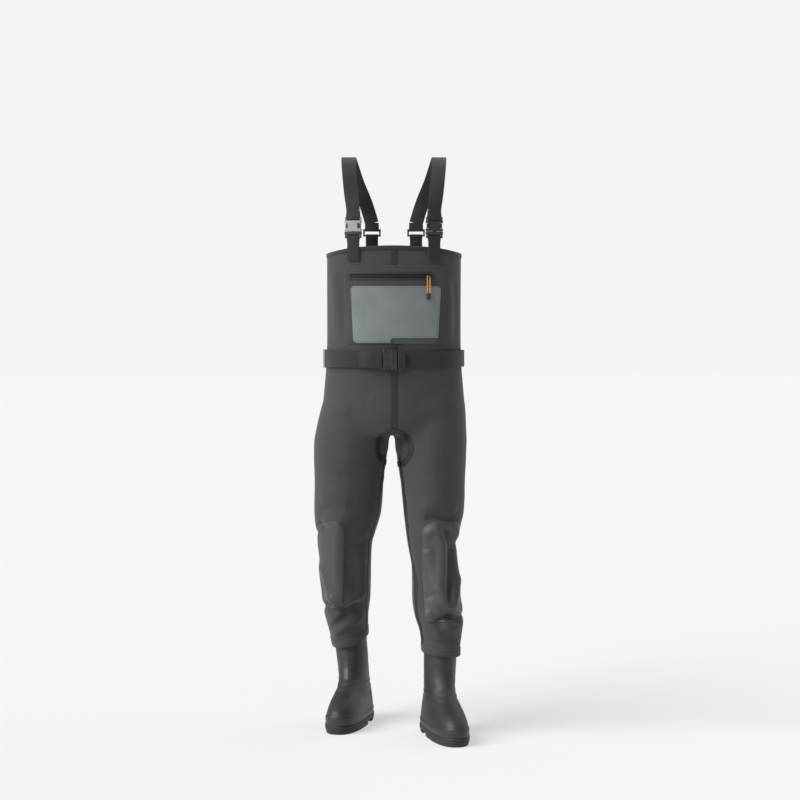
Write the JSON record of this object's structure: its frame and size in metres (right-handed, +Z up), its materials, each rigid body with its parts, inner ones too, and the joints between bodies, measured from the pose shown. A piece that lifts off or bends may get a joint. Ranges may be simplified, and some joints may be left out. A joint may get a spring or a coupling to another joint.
{
  "type": "chest waders",
  "caption": "Neoprene chest waders with welded rubber boots, zipped chest pocket, waist belt and elastic shoulder straps, standing as if worn.",
  "frame": {"origin": "on the floor, under the middle of the object's box", "axes": "+Z up, -Y the wearer's front, +X the wearer's left"},
  "size_m": [0.419, 0.4692, 1.5439],
  "materials": {
    "neoprene": "knit-faced neoprene, matt",
    "seam_tape": "bonded tape, satin",
    "binding": "folded binding, matt",
    "coated_grey": "smooth coated fabric, satin",
    "coated_dark": "smooth coated fabric, semi-gloss",
    "lining": "thin woven lining",
    "webbing": "woven webbing",
    "elastic": "woven elastic",
    "black_plastic": "moulded, satin",
    "grey_plastic": "moulded, satin",
    "orange_cord": "braided cord",
    "boot_rubber": "moulded, semi-gloss",
    "sole_rubber": "moulded, matt",
    "insole_foam": "felted foam"
  },
  "bodies": {
    "suit": {"back_ring_left": "black_plastic", "back_ring_right": "black_plastic", "back_tab_left": "webbing", "back_tab_right": "webbing", "belt_loop_back": "neoprene", "belt_loop_left": "neoprene", "belt_loop_right": "neoprene", "belt_socket": "black_plastic", "belt_webbing": "webbing", "bib_back": "neoprene", "bib_front": "neoprene", "bib_tab_left": "webbing", "bib_tab_right": "webbing", "boot_left_insole": "insole_foam", "boot_left_outsole": "sole_rubber", "boot_left_upper": "boot_rubber", "boot_right_insole": "insole_foam", "boot_right_outsole": "sole_rubber", "boot_right_upper": "boot_rubber", "cuff_band_left": "coated_dark", "cuff_band_right": "coated_dark", "front_tape_lower": "seam_tape", "front_tape_upper": "seam_tape", "gusset_tape": "seam_tape", "hip_back": "neoprene", "hip_front": "neoprene", "knee_pad_left": "coated_dark", "knee_pad_right": "coated_dark", "label_panel": "coated_dark", "pocket_bag": "lining", "pocket_panel": "neoprene", "pocket_patch": "coated_grey", "shin_left": "neoprene", "shin_right": "neoprene", "strap_left_plug": "black_plastic", "strap_right_plug": "black_plastic", "thigh_left": "neoprene", "thigh_right": "neoprene", "top_binding": "binding", "zip_tape_lower": "webbing", "zip_tape_upper": "webbing", "zip_welt": "coated_dark"},
    "zip_slider": {"zip_slider": "black_plastic"},
    "zip_pull": {"pull_cord": "orange_cord", "pull_grip": "black_plastic"},
    "strap_left": {"strap_left_elastic": "elastic", "strap_left_socket": "black_plastic"},
    "strap_right": {"strap_right_elastic": "elastic", "strap_right_socket": "grey_plastic"},
    "belt_release": {"belt_plug": "black_plastic", "belt_fold": "webbing"},
    "belt_keeper": {"belt_keeper": "grey_plastic"},
    "strap_left_arm_a": {"strap_left_arm_a": "black_plastic"},
    "strap_left_arm_b": {"strap_left_arm_b": "black_plastic"},
    "strap_right_arm_a": {"strap_right_arm_a": "black_plastic"},
    "strap_right_arm_b": {"strap_right_arm_b": "black_plastic"},
    "belt_arm_a": {"belt_arm_a": "black_plastic"},
    "belt_arm_b": {"belt_arm_b": "black_plastic"}
  },
  "joints": [
    {"name": "zip_travel", "type": "hinge", "parent": "suit", "child": "zip_slider", "pos_m": [0.00852, 0.26248, 1.223], "axis": [0, 0, 1], "range_deg": [-33, 0]},
    {"name": "zip_pull_lift", "type": "hinge", "parent": "zip_slider", "child": "zip_pull", "pos_m": [0.10088, -0.06333, 1.223], "axis": [-0.9621, -0.2727, 0], "range_deg": [0, 100]},
    {"name": "strap_left_swing", "type": "hinge", "parent": "suit", "child": "strap_left", "pos_m": [0.06914, 0.18632, 1.352], "axis": [-0.9833, 0.1818, 0], "range_deg": [0, 100], "deforming": ["strap_left_arm_a", "strap_left_arm_b"]},
    {"name": "strap_right_swing", "type": "hinge", "parent": "suit", "child": "strap_right", "pos_m": [-0.0521, 0.18632, 1.352], "axis": [-0.9833, -0.1818, 0], "range_deg": [0, 100], "deforming": ["strap_right_arm_a", "strap_right_arm_b"]},
    {"name": "belt_release", "type": "hinge", "parent": "suit", "child": "belt_release", "pos_m": [0.00852, 0.26048, 1.003], "axis": [0, 0, 1], "range_deg": [0, 6.5], "deforming": ["belt_arm_a", "belt_arm_b"]},
    {"name": "belt_keeper_slide", "type": "hinge", "parent": "suit", "child": "belt_keeper", "pos_m": [-0.05838, 0.06048, 1.003], "axis": [0, 0, 1], "range_deg": [-6, 6]},
    {"name": "strap_left_arm_a_press", "type": "hinge", "parent": "suit", "child": "strap_left_arm_a", "pos_m": [0.12749, -0.04833, 1.3425], "axis": [0.3675, -0.93, 0], "range_deg": [0, 14], "stiffness_Nm_per_rad": 0.12},
    {"name": "strap_left_arm_b_press", "type": "hinge", "parent": "suit", "child": "strap_left_arm_b", "pos_m": [0.10405, -0.05759, 1.3425], "axis": [0.3675, -0.93, 0], "range_deg": [-14, 0], "stiffness_Nm_per_rad": 0.12},
    {"name": "strap_right_arm_a_press", "type": "hinge", "parent": "suit", "child": "strap_right_arm_a", "pos_m": [-0.08701, -0.05759, 1.3425], "axis": [-0.3675, -0.93, 0], "range_deg": [0, 14], "stiffness_Nm_per_rad": 0.12},
    {"name": "strap_right_arm_b_press", "type": "hinge", "parent": "suit", "child": "strap_right_arm_b", "pos_m": [-0.11045, -0.04833, 1.3425], "axis": [-0.3675, -0.93, 0], "range_deg": [-14, 0], "stiffness_Nm_per_rad": 0.12},
    {"name": "belt_arm_a_press", "type": "hinge", "parent": "belt_release", "child": "belt_arm_a", "pos_m": [0.00802, -0.07972, 1.0196], "axis": [0, -1, 0], "range_deg": [0, 14], "stiffness_Nm_per_rad": 0.12},
    {"name": "belt_arm_b_press", "type": "hinge", "parent": "belt_release", "child": "belt_arm_b", "pos_m": [0.00802, -0.07972, 0.9864], "axis": [0, -1, 0], "range_deg": [-14, 0], "stiffness_Nm_per_rad": 0.12}
  ],
  "couplings": [
    {"joint": "strap_left_arm_b_press", "follows": "strap_left_arm_a_press", "ratio": -1},
    {"joint": "strap_right_arm_b_press", "follows": "strap_right_arm_a_press", "ratio": -1},
    {"joint": "belt_arm_b_press", "follows": "belt_arm_a_press", "ratio": -1}
  ]
}
